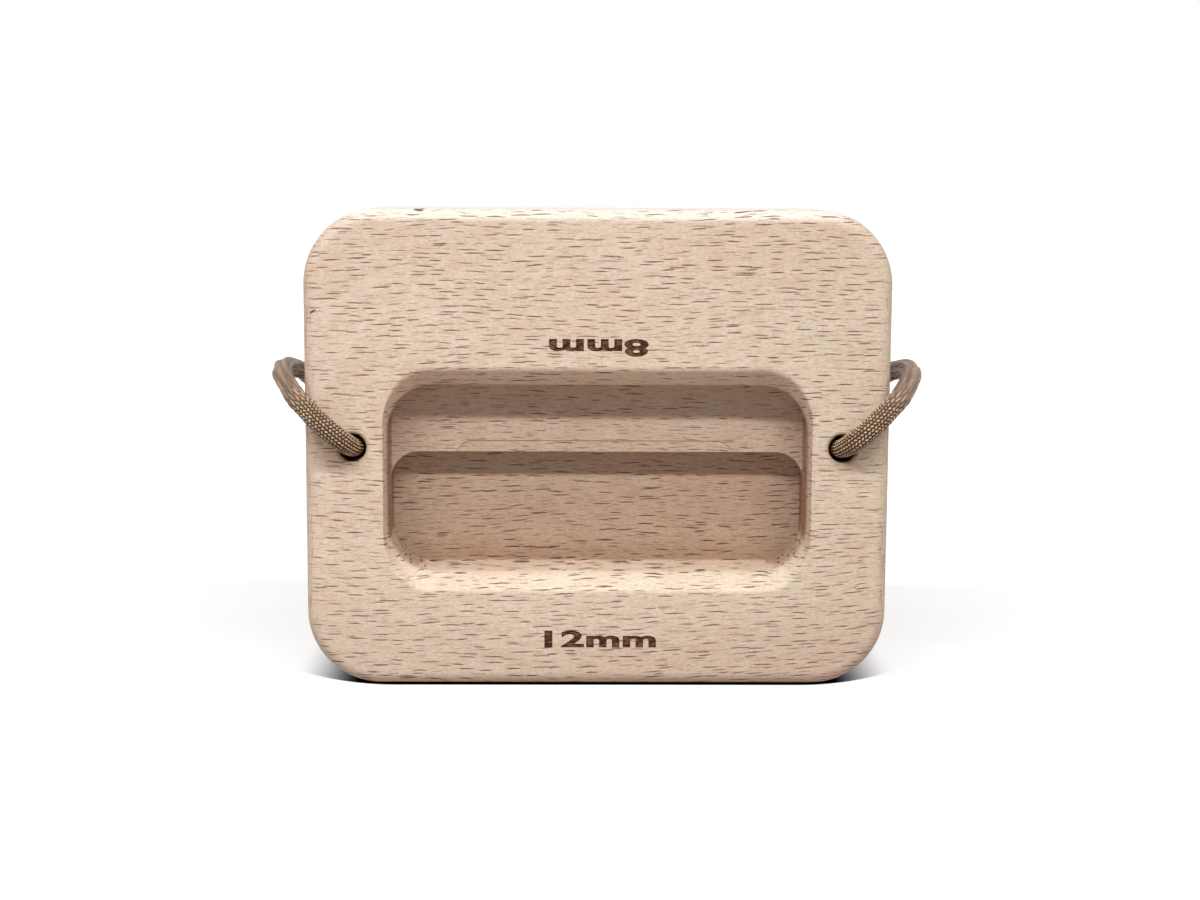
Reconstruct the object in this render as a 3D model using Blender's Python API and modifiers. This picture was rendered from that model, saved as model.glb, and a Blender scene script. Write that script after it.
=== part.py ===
"""A portable hangboard: a beech block with a stepped finger pocket, and the cord that it hangs on.

Metres, +Z up. The board stands on its lower edge, its front faces -Y, and the origin is the middle of
the face that it stands on. The cord's ends are knotted behind the two holes. The cord leaves both holes
at the front, passes round the board's sides to the back, and its middle lies there in a coil.
"""

import math

import bmesh
import bpy
from mathutils import Matrix, Vector

# The block.
WIDTH = 0.110
HEIGHT = 0.090
THICKNESS = 0.025
CORNER_RADIUS = 0.014
EDGE_RADIUS = 0.0025

# The finger pocket. Its upper part is the shallow edge, and the part below the step is the deep one.
POCKET_WIDTH = 0.0796
LOWER_RAIL = 0.0214
POCKET_HEIGHT = 0.0357
DEEP_PART_HEIGHT = 0.0224
SHALLOW_DEPTH = 0.008
DEEP_DEPTH = 0.012
POCKET_CORNER_RADIUS = 0.009
STEP_CORNER_RADIUS = 0.0055

# The pocket's mouth: chamfered above and below, and nearly straight at the sides.
LIP_CHAMFER = 0.0031
SIDE_LIP = 0.0005
LIP_OUTER_ROUNDING = 0.0008
LIP_INNER_ROUNDING = 0.0020

# The two cord holes.
HOLE_SPACING = 0.092
HOLE_HEIGHT = 0.0455
HOLE_RADIUS = 0.0025
HOLE_RIM_RADIUS = 0.0008

# The cord.
CORD_DIAMETER = 0.004
SEAT_GAP = 0.0003
SURFACE_GAP = 0.00005

# The stopper knots: a cord drawn tight, wound round itself and the shank that comes out of the hole.
KNOT_STRAND = 0.0034
KNOT_GAP = 0.0005
KNOT_TURNS = 2.5
KNOT_TAIL = 0.017
KNOT_LOOP_SLACK = 0.00005
KNOT_LAST_TURN_GAP = 0.00156

# The coil of the cord's middle: a layer that winds in and a layer above it that winds out.
COIL_TURNS = 6.5
COIL_INNER_RADIUS = 0.0144
COIL_GAP = 0.0006
COIL_BEHIND_BACK = 0.033
COIL_POINTS_PER_TURN = 24

# The strap that ties the coil.
TIE_WIDTH = 0.008
TIE_THICKNESS = 0.0008
TIE_CORNER_RADIUS = 0.0009

# How finely the round shapes are faceted.
CORNER_SEGMENTS = 8
EDGE_SEGMENTS = 4
LIP_SEGMENTS = 3
HOLE_STEPS = 28
RIM_SEGMENTS = 3
TIE_SEGMENTS = 4
CUTTER_MARGIN = 0.002

# The cord's route on one side. Each point is (outwards, backwards, upwards).
# From the middle of the hole's mouth on the front face.
ROUTE_OUT_OF_HOLE = [
    (-0.00022, 0.00520, -0.00021),
    (-0.00022, 0.00320, -0.00021),
    (0.00010, 0.00074, 0.00009),
    (0.00100, -0.00143, 0.00095),
    (0.00239, -0.00304, 0.00227),
    (0.00410, -0.00389, 0.00389),
    (0.00575, -0.00395, 0.00548),
    (0.00700, -0.00357, 0.00665),
    (0.00830, -0.00270, 0.00790),
    (0.01020, -0.00105, 0.00950),
]
# From the board's side face, the front face and the hole's height.
ROUTE_ROUND_SIDE = [
    (0.0027, 0.0018, 0.01085),
    (0.0040, 0.0051, 0.01205),
    (0.0051, 0.0088, 0.01305),
    (0.0056, 0.0131, 0.0136),
]
# From the side face, the back face and the hole's height.
ROUTE_DOWN_BACK = [
    (0.0053, -0.0075, 0.01355),
    (0.0045, -0.0033, 0.0129),
    (0.0030, 0.0006, 0.0117),
    (0.0011, 0.0038, 0.0089),
    (-0.0001, 0.0066, 0.0040),
    (-0.0003, 0.0091, -0.0030),
    (-0.0018, 0.0110, -0.0110),
    (-0.0054, 0.0122, -0.0190),
]
# From the end of the coil that the cord joins: the left one lies below, and the right one on top.
ROUTE_TO_COIL = {
    "left": [
        (0.0139, -0.0153, 0.0136),
        (0.0090, -0.0130, 0.0078),
        (0.0044, -0.0098, 0.0033),
        (0.0011, -0.0064, 0.0008),
        (0.0, -0.0032, 0.0),
        (0.0, 0.0, 0.0),
    ],
    "right": [
        (0.0139, -0.0153, 0.0102),
        (0.0090, -0.0130, 0.0054),
        (0.0044, -0.0098, 0.0022),
        (0.0011, -0.0064, 0.0005),
        (0.0, -0.0032, 0.0),
        (0.0, 0.0, 0.0),
    ],
}

# The knot's two bends. Each point is (backwards, down, sideways).
# From the end of the strand that comes out of the hole, out to the first turn round it.
KNOT_TURN_BACK = [
    (0.00430, -0.00030, -0.00120),
    (0.00515, -0.00215, -0.00355),
    (0.00340, -0.00385, -0.00440),
    (0.00060, -0.00455, -0.00265),
]
# From the start of the strand that runs back through the turns, in from the last turn.
KNOT_TUCK = [
    (0.00090, 0.00420, -0.00480),
    (0.00015, 0.00170, -0.00620),
    (0.00020, -0.00035, -0.00450),
    (0.00195, -0.00005, -0.00060),
    (0.00500, 0.0, 0.0),
]

FRONT = -THICKNESS / 2
BACK = THICKNESS / 2
SIDES = {"left": -1, "right": 1}
CORD_RADIUS = CORD_DIAMETER / 2


def clear_scene():
    for old in list(bpy.data.objects):
        bpy.data.objects.remove(old)


def collection(name):
    made = bpy.data.collections.new(name)
    bpy.context.scene.collection.children.link(made)
    return made


def material(name, colour, roughness):
    made = bpy.data.materials.new(name)
    made.use_nodes = True
    shader = made.node_tree.nodes["Principled BSDF"]
    shader.inputs["Base Color"].default_value = (*colour, 1.0)
    shader.inputs["Roughness"].default_value = roughness
    shader.inputs["Metallic"].default_value = 0.0
    return made


def add_object(name, data, group, surface=None):
    made = bpy.data.objects.new(name, data)
    group.objects.link(made)
    if surface is not None:
        data.materials.append(surface)
    return made


def mesh_from(bm, name):
    mesh = bpy.data.meshes.new(name)
    bm.to_mesh(mesh)
    bm.free()
    return mesh


def hide_as_cutter(cutter):
    cutter.hide_render = True
    cutter.display_type = "WIRE"


def rounded_box(low, high, radii, segments):
    """A box whose four edges along Y are rounded. radii gives the lower and the upper pair's radius."""
    bm = bmesh.new()
    size = Vector(high) - Vector(low)
    middle = (Vector(high) + Vector(low)) / 2
    place = Matrix.Translation(middle) @ Matrix.Diagonal((*size, 1.0))
    bmesh.ops.create_cube(bm, size=1.0, matrix=place)
    for upper, radius in zip((False, True), radii):
        edges = [
            edge
            for edge in bm.edges
            if abs(edge.verts[0].co.y - edge.verts[1].co.y) > size.y / 2
            and (edge.verts[0].co.z > middle.z) == upper
            and len(edge.link_faces) == 2
            and edge.calc_face_angle() > math.radians(60)
        ]
        bmesh.ops.bevel(bm, geom=edges, offset=radius, segments=segments, profile=0.5, affect="EDGES")
    return bm


def back_face(bm):
    """The face that looks backwards and lies furthest back."""
    facing = [face for face in bm.faces if face.normal.y > 0.9]
    return max(facing, key=lambda face: face.calc_center_median().y)


def push_back(bm, face, distance):
    """Extrudes a face backwards and returns the face at its new place."""
    pushed = bmesh.ops.extrude_discrete_faces(bm, faces=[face])["faces"][0]
    bmesh.ops.translate(bm, vec=(0, distance, 0), verts=pushed.verts)
    return pushed


def scale_outline(points, centre, wide, high):
    """Scales points about the pocket's middle, across and upwards."""
    for vert in points:
        vert.co.x = centre.x + (vert.co.x - centre.x) * wide
        vert.co.z = centre.z + (vert.co.z - centre.z) * high


def lip_profile():
    """The lip's section, from the mouth inwards: (how far it stands out from the pocket's wall, depth)."""
    lean = math.pi / 4
    profile = []
    for radius, centre, start in (
        (LIP_OUTER_ROUNDING, (LIP_CHAMFER, 0.0), math.pi / 2),
        (LIP_INNER_ROUNDING, (0.0, LIP_CHAMFER), lean),
    ):
        reach = radius * math.tan(lean / 2)
        if start > lean:
            middle = (centre[0] + reach, radius)
        else:
            middle = (radius, centre[1] + reach)
        for step in range(LIP_SEGMENTS + 1):
            turn = start - lean * step / LIP_SEGMENTS
            profile.append((middle[0] - radius * math.cos(turn), middle[1] - radius * math.sin(turn)))
    return profile


def narrow_inwards(bm, centre):
    """Narrows the hindmost face step by step along the lip's section, down to the pocket's walls."""
    depth = 0.0
    width = None
    for out, place in lip_profile():
        reached = (
            1 + out * SIDE_LIP / LIP_CHAMFER / (POCKET_WIDTH / 2),
            1 + out / (POCKET_HEIGHT / 2),
        )
        if width is None:
            scale_outline(bm.verts, centre, *reached)
        else:
            face = push_back(bm, back_face(bm), place - depth)
            scale_outline(face.verts, centre, reached[0] / width[0], reached[1] / width[1])
        bm.normal_update()
        depth = place
        width = reached
    return depth


def step_line(top, corner_radius, segments):
    """The step's outline between the pocket's side walls, from left to right, rounded at both ends."""
    half = POCKET_WIDTH / 2
    level = FRONT + SHALLOW_DEPTH
    left = []
    for step in range(1, segments + 1):
        turn = math.pi / 2 * step / segments
        x = -half + corner_radius * (1 - math.cos(turn))
        z = top - corner_radius * (1 - math.sin(turn))
        left.append(Vector((x, level, z)))
    right = [Vector((-point.x, point.y, point.z)) for point in reversed(left)]
    return left + right


def wall_vertex(bm, floor, side, height):
    """A new corner on the floor's edge along one side wall, at the given height."""
    along_wall = [
        edge for edge in floor.edges if all(vert.co.x * side > POCKET_WIDTH / 2 - 1e-5 for vert in edge.verts)
    ]
    edge = max(along_wall, key=lambda found: found.calc_length())
    start = edge.verts[0]
    share = (height - start.co.z) / (edge.verts[1].co.z - start.co.z)
    return bmesh.utils.edge_split(edge, start, share)[1]


def make_pocket_cutter(group):
    half = POCKET_WIDTH / 2
    low = Vector((-half, FRONT - CUTTER_MARGIN, LOWER_RAIL))
    high = Vector((half, FRONT, LOWER_RAIL + POCKET_HEIGHT))
    bm = rounded_box(low, high, (POCKET_CORNER_RADIUS, POCKET_CORNER_RADIUS), CORNER_SEGMENTS)
    narrowed = narrow_inwards(bm, (low + high) / 2)
    floor = push_back(bm, back_face(bm), SHALLOW_DEPTH - narrowed)
    bm.normal_update()

    step_top = LOWER_RAIL + DEEP_PART_HEIGHT
    foot = step_top - STEP_CORNER_RADIUS
    left = wall_vertex(bm, floor, -1, foot)
    right = wall_vertex(bm, floor, 1, foot)
    line = step_line(step_top, STEP_CORNER_RADIUS, CORNER_SEGMENTS)
    other = bmesh.utils.face_split(floor, left, right, coords=line)[0]
    lower = min((floor, other), key=lambda face: face.calc_center_bounds().z)
    push_back(bm, lower, DEEP_DEPTH - SHALLOW_DEPTH)

    cutter = add_object("pocket_cutter", mesh_from(bm, "pocket_cutter"), group)
    hide_as_cutter(cutter)
    return cutter


def hole_profile():
    """Half of the hole's section, from one end to the other: (distance from the axis, place along it)."""
    end = THICKNESS / 2
    past_end = end + CUTTER_MARGIN
    flare = []
    for step in range(RIM_SEGMENTS + 1):
        turn = math.pi / 2 * step / RIM_SEGMENTS
        radius = HOLE_RADIUS + HOLE_RIM_RADIUS * (1 - math.sin(turn))
        flare.append((radius, end - HOLE_RIM_RADIUS * (1 - math.cos(turn))))
    mouth = HOLE_RADIUS + HOLE_RIM_RADIUS
    upper = [(0.0, past_end), (mouth, past_end)] + flare
    lower = [(radius, -place) for radius, place in reversed(upper)]
    return upper + lower


def make_hole_cutter(group, side_name):
    profile = hole_profile()
    points = [(radius, 0.0, place) for radius, place in profile]
    edges = [(index, index + 1) for index in range(len(points) - 1)]
    mesh = bpy.data.meshes.new("hole_cutter_" + side_name)
    mesh.from_pydata(points, edges, [])
    cutter = add_object("hole_cutter_" + side_name, mesh, group)
    cutter.location = (SIDES[side_name] * HOLE_SPACING / 2, 0.0, HOLE_HEIGHT)
    cutter.rotation_euler = (math.pi / 2, 0.0, 0.0)
    turning = cutter.modifiers.new("turned", "SCREW")
    turning.axis = "Z"
    turning.steps = HOLE_STEPS
    turning.render_steps = HOLE_STEPS
    turning.use_merge_vertices = True
    turning.merge_threshold = 0.00001
    hide_as_cutter(cutter)
    return cutter


def cut(piece, cutter):
    boolean = piece.modifiers.new("cut_" + cutter.name, "BOOLEAN")
    boolean.operation = "DIFFERENCE"
    boolean.solver = "EXACT"
    boolean.object = cutter


def make_board(group, cutters, surface):
    low = (-WIDTH / 2, FRONT, 0.0)
    high = (WIDTH / 2, BACK, HEIGHT)
    bm = rounded_box(low, high, (CORNER_RADIUS, CORNER_RADIUS), CORNER_SEGMENTS)
    board = add_object("board", mesh_from(bm, "board"), group, surface)
    rounding = board.modifiers.new("edge_rounding", "BEVEL")
    rounding.limit_method = "ANGLE"
    rounding.angle_limit = math.radians(40)
    rounding.width = EDGE_RADIUS
    rounding.segments = EDGE_SEGMENTS
    cut(board, make_pocket_cutter(cutters))
    for side_name in SIDES:
        cut(board, make_hole_cutter(cutters, side_name))
    board.data.shade_smooth()
    board.data.set_sharp_from_angle(angle=math.radians(40))
    return board


def smooth_curve(points, per_span):
    """Points on a smooth curve through the given ones, per_span of them for each stretch between two."""
    ends = [points[0] * 2 - points[1]] + list(points) + [points[-1] * 2 - points[-2]]
    read = []
    for a, b, c, d in zip(ends, ends[1:], ends[2:], ends[3:]):
        for step in range(per_span):
            t = step / per_span
            read.append(
                (
                    b * 2
                    + (c - a) * t
                    + (a * 2 - b * 5 + c * 4 - d) * t**2
                    + (b * 3 - a - c * 3 + d) * t**3
                )
                / 2
            )
    read.append(points[-1].copy())
    return read


def read_at(curve, distances):
    """The points of a finely read curve at the given distances along it."""
    found = []
    travelled = 0.0
    wanted = list(distances)
    for start, end in zip(curve, curve[1:]):
        length = (end - start).length
        while wanted and wanted[0] <= travelled + length:
            found.append(start.lerp(end, (wanted.pop(0) - travelled) / length))
        travelled += length
    return found


def length_of(curve):
    return sum((end - start).length for start, end in zip(curve, curve[1:]))


def least_gap(points, diameter):
    """The smallest clear space between a tube and itself, measured on points read closely along it."""
    travelled = [0.0]
    for start, end in zip(points, points[1:]):
        travelled.append(travelled[-1] + (end - start).length)
    near = 2.2 * diameter
    return min(
        (points[first] - points[second]).length - diameter
        for first in range(0, len(points), 2)
        for second in range(first + 1, len(points))
        if travelled[second] - travelled[first] > near
    )


def make_tube(name, points, radii, resolution, group, surface):
    curve = bpy.data.curves.new(name, "CURVE")
    curve.dimensions = "3D"
    curve.bevel_depth = CORD_RADIUS
    curve.bevel_resolution = resolution
    curve.use_fill_caps = True
    spline = curve.splines.new("POLY")
    spline.points.add(len(points) - 1)
    for made, point, radius in zip(spline.points, points, radii):
        made.co = (*point, 1.0)
        made.radius = radius / CORD_RADIUS
    spline.use_smooth = True
    return add_object(name, curve, group, surface)


def coil_centre():
    return Vector((0.0, BACK + COIL_BEHIND_BACK, 0.0))


def coil_pitch():
    return CORD_DIAMETER + COIL_GAP


def coil_radius(turn):
    """Winds in for half of the turns and out again, with the reversal softened over a tenth of a turn."""
    softening = 0.1
    from_middle = math.hypot(turn - COIL_TURNS / 2, softening) - softening
    return COIL_INNER_RADIUS + coil_pitch() * from_middle


def coil_lift(y):
    """The coil leans: its front lies on the surface, and its back on the strap that passes below it."""
    front = coil_centre().y - coil_radius(0.0)
    at_strap = coil_centre().y + COIL_INNER_RADIUS
    lift_at_strap = TIE_THICKNESS + SEAT_GAP + SURFACE_GAP
    return CORD_RADIUS + SURFACE_GAP + lift_at_strap * (y - front) / (at_strap - front)


def coil_point(turn):
    """The cord's place after so many turns, clockwise from the left, seen from above."""
    angle = math.pi - 2 * math.pi * turn
    radius = coil_radius(turn)
    x = radius * math.cos(angle)
    y = coil_centre().y + radius * math.sin(angle)
    climb = min(max((turn - (COIL_TURNS - 1) / 2 - 0.25) / 0.5, 0.0), 1.0)
    layer = climb * climb * (3 - 2 * climb)
    return Vector((x, y, coil_lift(y) + coil_pitch() * layer))


def coil_lead(turn):
    """The straight end of the coil, one diameter long, towards the board."""
    joined = coil_point(turn)
    end = joined - Vector((0.0, CORD_DIAMETER, 0.0))
    end.z = coil_lift(end.y) + joined.z - coil_lift(joined.y)
    return end


def coil_points(per_turn):
    count = round(COIL_TURNS * per_turn)
    turns = [coil_point(step / per_turn) for step in range(count + 1)]
    return [coil_lead(0.0)] + turns + [coil_lead(COIL_TURNS)]


def make_coil(group, surface):
    gap = least_gap(coil_points(4 * COIL_POINTS_PER_TURN), CORD_DIAMETER)
    print(f"cord_coil: least gap to itself {gap * 1000:.2f} mm")
    points = coil_points(COIL_POINTS_PER_TURN)
    return make_tube("cord_coil", points, [CORD_RADIUS] * len(points), 1, group, surface)


def cord_route(side_name):
    """The hand-chosen route of one free stretch, from inside its hole to the coil."""
    side = SIDES[side_name]
    mouth = Vector((side * HOLE_SPACING / 2, FRONT, HOLE_HEIGHT))
    side_at_front = Vector((side * WIDTH / 2, FRONT, HOLE_HEIGHT))
    side_at_back = Vector((side * WIDTH / 2, BACK, HOLE_HEIGHT))
    joined = coil_lead(0.0 if side_name == "left" else COIL_TURNS)
    joined -= Vector((0.0, SEAT_GAP, 0.0))
    stretches = (
        (mouth, ROUTE_OUT_OF_HOLE),
        (side_at_front, ROUTE_ROUND_SIDE),
        (side_at_back, ROUTE_DOWN_BACK),
        (joined, ROUTE_TO_COIL[side_name]),
    )
    return [
        start + Vector((side * outwards, backwards, upwards))
        for start, stretch in stretches
        for outwards, backwards, upwards in stretch
    ]


def make_cord_stretch(side_name, group, surface):
    """One free stretch. Its points lie closer together near both ends, which it meets squarely."""
    curve = smooth_curve(cord_route(side_name), 24)
    total = length_of(curve)
    distances = [0.0]
    while distances[-1] < total - 0.8 * CORD_DIAMETER:
        from_end = min(distances[-1], total - distances[-1])
        distances.append(distances[-1] + min(0.5 * CORD_DIAMETER + 0.1 * from_end, CORD_DIAMETER))
    points = read_at(curve, distances[:-1]) + [curve[-1]]
    name = "cord_" + side_name
    print(f"{name}: {total * 1000:.1f} mm long")
    return make_tube(name, points, [CORD_RADIUS] * len(points), 2, group, surface)


def knot_pitch():
    return KNOT_STRAND + KNOT_GAP


def around_strands(turn):
    """A place on the loop round the knot's two inner strands, as (down, sideways) from the first."""
    straight = knot_pitch()
    reach = knot_pitch() + KNOT_LOOP_SLACK
    half_circle = math.pi * reach
    along = (turn % 1.0) * 2 * (half_circle + straight) + half_circle / 2
    if along < half_circle:
        angle = along / reach
        return -reach * math.sin(angle), -reach * math.cos(angle)
    along -= half_circle
    if along < straight:
        return along, reach
    along -= straight
    if along < half_circle:
        angle = along / reach
        return straight + reach * math.sin(angle), reach * math.cos(angle)
    along -= half_circle
    if along < straight:
        return straight - along, -reach
    angle = (along - straight) / reach
    return -reach * math.sin(angle), -reach * math.cos(angle)


def knot_route():
    """The knotted end, from inside the hole to the tip of its tail: (backwards, down, sideways)."""
    beside = knot_pitch()
    nearest = KNOT_STRAND / 2 + SEAT_GAP
    last_turn = nearest + KNOT_LAST_TURN_GAP
    furthest = last_turn + KNOT_TURNS * knot_pitch()
    inside_hole = ROUTE_OUT_OF_HOLE[0][1] + SEAT_GAP - THICKNESS
    outwards, _, upwards = ROUTE_OUT_OF_HOLE[0]
    shank = [(inside_hole, -upwards, outwards), (inside_hole / 2, 0.0, 0.0), (0.0, 0.0, 0.0)]
    shank += [(furthest * share, 0.0, 0.0) for share in (0.35, 0.7, 0.95)]
    turn_back = [(furthest + back, down, sideways) for back, down, sideways in KNOT_TURN_BACK]
    turns = []
    per_turn = 12
    for step in range(round(KNOT_TURNS * per_turn) + 1):
        turn = step / per_turn
        turns.append((furthest - turn * knot_pitch(), *around_strands(turn)))
    tuck = [(nearest + back, beside + down, sideways) for back, down, sideways in KNOT_TUCK]
    tail = [
        (furthest * 0.8, beside, 0.0),
        (furthest + 0.25 * KNOT_TAIL, beside, 0.0),
        (furthest + 0.55 * KNOT_TAIL, beside + 0.0010, 0.0003),
        (furthest + 0.80 * KNOT_TAIL, beside + 0.0028, 0.0006),
        (furthest + KNOT_TAIL, beside + 0.0056, 0.0010),
    ]
    return shank + turn_back + turns + tuck + tail


def knot_radius(backwards):
    """Full size in the hole, and drawn thinner where the knot squeezes it."""
    tight = KNOT_STRAND / 2
    share = min(max(1 + backwards / CORD_DIAMETER, 0.0), 1.0)
    return CORD_RADIUS + (tight - CORD_RADIUS) * share


def make_knot(side_name, group, surface):
    side = SIDES[side_name]
    at_back = Vector((side * HOLE_SPACING / 2, BACK, HOLE_HEIGHT))
    route = [at_back + Vector((side * sideways, back, -down)) for back, down, sideways in knot_route()]
    curve = smooth_curve(route, 12)
    name = side_name + "_stopper_knot"
    gap = least_gap(curve[::3], KNOT_STRAND)
    print(f"{name}: least gap to itself {gap * 1000:.2f} mm")
    total = length_of(curve)
    distances = [0.0]
    while distances[-1] < total:
        in_shank = distances[-1] < THICKNESS
        distances.append(distances[-1] + (2 * CORD_DIAMETER if in_shank else 0.4 * KNOT_STRAND))
    points = read_at(curve, distances[:-1])
    radii = [knot_radius(point.y - BACK) for point in points]
    return make_tube(name, points, radii, 1, group, surface)


def tie_outline(inner):
    """One outline of the strap, as (backwards, upwards): round the coil, and flat on the surface."""
    centre = coil_centre().y
    half_width = TIE_WIDTH / 2
    nearest = math.sqrt(COIL_INNER_RADIUS**2 - half_width**2) - CORD_RADIUS - SEAT_GAP
    furthest = coil_radius(0.25) + CORD_RADIUS + SEAT_GAP
    top = coil_lift(centre + furthest) + coil_pitch() + CORD_RADIUS + SEAT_GAP
    grown = 0.0 if inner else TIE_THICKNESS
    low = (centre + nearest - grown, SURFACE_GAP + TIE_THICKNESS - grown)
    high = (centre + furthest + grown, top + grown)
    radius = TIE_CORNER_RADIUS + grown
    points = []
    corners = ((high[0], high[1], 0.0), (low[0], high[1], 0.5), (low[0], low[1], 1.0), (high[0], low[1], 1.5))
    for y, z, start in corners:
        middle_y = y - math.copysign(radius, y - centre - (nearest + furthest) / 2)
        middle_z = z - math.copysign(radius, z - top / 2)
        for step in range(TIE_SEGMENTS + 1):
            angle = math.pi * (start + 0.5 * step / TIE_SEGMENTS)
            points.append((middle_y + radius * math.cos(angle), middle_z + radius * math.sin(angle)))
    return points


def make_tie(group, surface):
    """A flat outline with a hole in it, as thick as the strap is wide."""
    curve = bpy.data.curves.new("coil_tie", "CURVE")
    curve.dimensions = "2D"
    curve.fill_mode = "BOTH"
    curve.extrude = TIE_WIDTH / 2
    for inner in (False, True):
        outline = tie_outline(inner)
        spline = curve.splines.new("POLY")
        spline.points.add(len(outline) - 1)
        for made, (y, z) in zip(spline.points, outline):
            made.co = (y, z, 0.0, 1.0)
        spline.use_cyclic_u = True
    tie = add_object("coil_tie", curve, group, surface)
    tie.rotation_euler = (math.pi / 2, 0.0, math.pi / 2)
    return tie


def main():
    clear_scene()
    parts = collection("hangboard")
    cutters = collection("cutters")
    beech = material("beech", (0.66, 0.51, 0.38), 0.55)
    braid = material("tan_cord", (0.36, 0.26, 0.17), 0.45)
    webbing = material("dark_webbing", (0.03, 0.03, 0.035), 0.7)
    make_board(parts, cutters, beech)
    for side_name in SIDES:
        make_cord_stretch(side_name, parts, braid)
        make_knot(side_name, parts, braid)
    make_coil(parts, braid)
    make_tie(parts, webbing)


main()
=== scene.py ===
"""The looks of a portable hangboard: sanded beech, burnt ledge marks and a braided cord.

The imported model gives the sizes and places. Everything is in metres, the board stands on z = 0 and its
front faces -Y.
"""

import math

import bmesh
import bpy
import numpy as np
from mathutils import Matrix, Vector


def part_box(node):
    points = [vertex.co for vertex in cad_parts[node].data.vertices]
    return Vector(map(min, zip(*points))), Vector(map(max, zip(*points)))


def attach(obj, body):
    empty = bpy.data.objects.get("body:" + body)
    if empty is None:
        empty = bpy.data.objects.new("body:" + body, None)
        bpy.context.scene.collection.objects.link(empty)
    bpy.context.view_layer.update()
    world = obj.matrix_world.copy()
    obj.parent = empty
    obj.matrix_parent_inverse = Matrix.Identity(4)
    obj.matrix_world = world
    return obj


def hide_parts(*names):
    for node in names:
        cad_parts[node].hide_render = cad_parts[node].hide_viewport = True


bl_info = {
    "name": "Portable hangboard",
    "version": (1, 0, 0),
    "blender": (4, 5, 0),
    "location": "View3D > Sidebar > Hangboard",
    "description": "Builds a beech finger board with its ledge marks and its braided cord",
    "category": "Add Mesh",
}

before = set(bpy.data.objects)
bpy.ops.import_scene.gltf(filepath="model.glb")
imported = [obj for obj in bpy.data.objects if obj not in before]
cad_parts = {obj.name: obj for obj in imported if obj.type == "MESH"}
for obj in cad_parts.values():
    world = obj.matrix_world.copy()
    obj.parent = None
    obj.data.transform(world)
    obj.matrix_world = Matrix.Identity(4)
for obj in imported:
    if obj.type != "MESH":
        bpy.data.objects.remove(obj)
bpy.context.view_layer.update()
BOARD_LOW, BOARD_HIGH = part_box("board")
BOARD_SIZE = BOARD_HIGH - BOARD_LOW
FRONT = BOARD_LOW.y
BACK = BOARD_HIGH.y
MM = 0.001
FRONT_MM = FRONT / MM
BACK_MM = BACK / MM
TOP_MM = BOARD_HIGH.z / MM
END_MM = BOARD_HIGH.x / MM
SIDES = {"left": -1, "right": 1}
BLACK = (0.0, 0.0, 0.0)
WHITE = (1.0, 1.0, 1.0)

# The free cord's route, repeated from the part's source. Each point is (outwards, backwards, upwards).
ROUTE_OUT_OF_HOLE = [
    (-0.00022, 0.00520, -0.00021),
    (-0.00022, 0.00320, -0.00021),
    (0.00010, 0.00074, 0.00009),
    (0.00100, -0.00143, 0.00095),
    (0.00239, -0.00304, 0.00227),
    (0.00410, -0.00389, 0.00389),
    (0.00575, -0.00395, 0.00548),
    (0.00700, -0.00357, 0.00665),
    (0.00830, -0.00270, 0.00790),
    (0.01020, -0.00105, 0.00950),
]
ROUTE_ROUND_SIDE = [
    (0.0027, 0.0018, 0.01085),
    (0.0040, 0.0051, 0.01205),
    (0.0051, 0.0088, 0.01305),
    (0.0056, 0.0131, 0.0136),
]
ROUTE_DOWN_BACK = [
    (0.0053, -0.0075, 0.01355),
    (0.0045, -0.0033, 0.0129),
    (0.0030, 0.0006, 0.0117),
    (0.0011, 0.0038, 0.0089),
    (-0.0001, 0.0066, 0.0040),
    (-0.0003, 0.0091, -0.0030),
    (-0.0018, 0.0110, -0.0110),
    (-0.0054, 0.0122, -0.0190),
]
ROUTE_TO_COIL = {
    "left": [
        (0.0139, -0.0153, 0.0136),
        (0.0090, -0.0130, 0.0078),
        (0.0044, -0.0098, 0.0033),
        (0.0011, -0.0064, 0.0008),
        (0.0, -0.0032, 0.0),
        (0.0, 0.0, 0.0),
    ],
    "right": [
        (0.0139, -0.0153, 0.0102),
        (0.0090, -0.0130, 0.0054),
        (0.0044, -0.0098, 0.0022),
        (0.0011, -0.0064, 0.0005),
        (0.0, -0.0032, 0.0),
        (0.0, 0.0, 0.0),
    ],
}

# The knot's bends, repeated from the part's source. Each point is (backwards, down, sideways).
KNOT_TURN_BACK = [
    (0.00430, -0.00030, -0.00120),
    (0.00515, -0.00215, -0.00355),
    (0.00340, -0.00385, -0.00440),
    (0.00060, -0.00455, -0.00265),
]
KNOT_TUCK = [
    (0.00090, 0.00420, -0.00480),
    (0.00015, 0.00170, -0.00620),
    (0.00020, -0.00035, -0.00450),
    (0.00195, -0.00005, -0.00060),
    (0.00500, 0.0, 0.0),
]
KNOT_STRAND = 0.0034
KNOT_GAP = 0.0005
KNOT_TURNS = 2.5
KNOT_TAIL = 0.017
KNOT_LOOP_SLACK = 0.00005
KNOT_LAST_TURN_GAP = 0.00156
SEAT_GAP = 0.0003

# The coil, repeated from the part's source.
COIL_TURNS = 6.5
COIL_INNER_RADIUS = 0.0144
COIL_GAP = 0.0006
COIL_BEHIND_BACK = 0.033
TIE_THICKNESS = 0.0008
SURFACE_GAP = 0.00005


def length(name, description, metres):
    return bpy.props.FloatProperty(
        name=name, description=description, default=metres, min=0.0, unit="LENGTH", precision=5
    )


def colour(name, description, linear):
    return bpy.props.FloatVectorProperty(
        name=name, description=description, default=linear, min=0.0, max=1.0, size=3, subtype="COLOR"
    )


def power(name, description, watts):
    return bpy.props.FloatProperty(name=name, description=description, default=watts, min=0.0, unit="POWER")


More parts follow.
